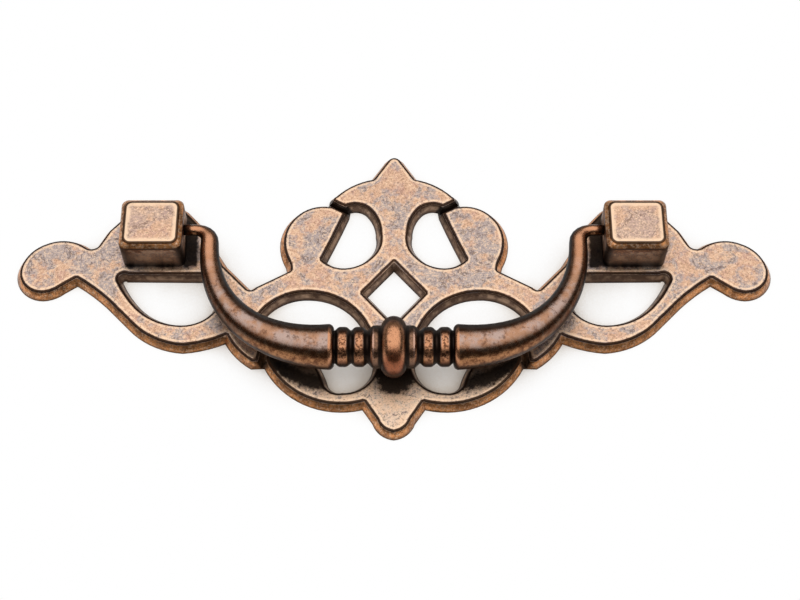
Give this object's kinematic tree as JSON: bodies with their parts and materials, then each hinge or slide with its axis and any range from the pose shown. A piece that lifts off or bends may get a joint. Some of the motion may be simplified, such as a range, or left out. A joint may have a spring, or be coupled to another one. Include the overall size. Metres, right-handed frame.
{
  "type": "bail pull",
  "caption": "Drawer bail pull: openwork cast backplate, square posts riveted through it and a turned, tapered bail that swings up from the plate.",
  "frame": {"origin": "middle of the line between the two fixing screws, on the back of the plate", "axes": "+Z out of the drawer front, +X along the line of the posts, -Y the way the bail hangs"},
  "size_m": [0.1514, 0.0637, 0.0142],
  "materials": {
    "plate_metal": "antique copper, dark in the walls and worn bright along the edges",
    "post_metal": "antique copper, bright on top and dark at the sides",
    "bail_metal": "antique copper, polished high spots and near-black grooves"
  },
  "bodies": {
    "plate": {"backplate": "plate_metal", "post_left": "post_metal", "post_right": "post_metal"},
    "bail": {"bail": "bail_metal"}
  },
  "joints": [
    {"name": "bail_swing", "type": "hinge", "parent": "plate", "child": "bail", "pos_m": [0, 0, 0.0071], "axis": [-1, 0, 0], "range_deg": [0, 170]}
  ]
}
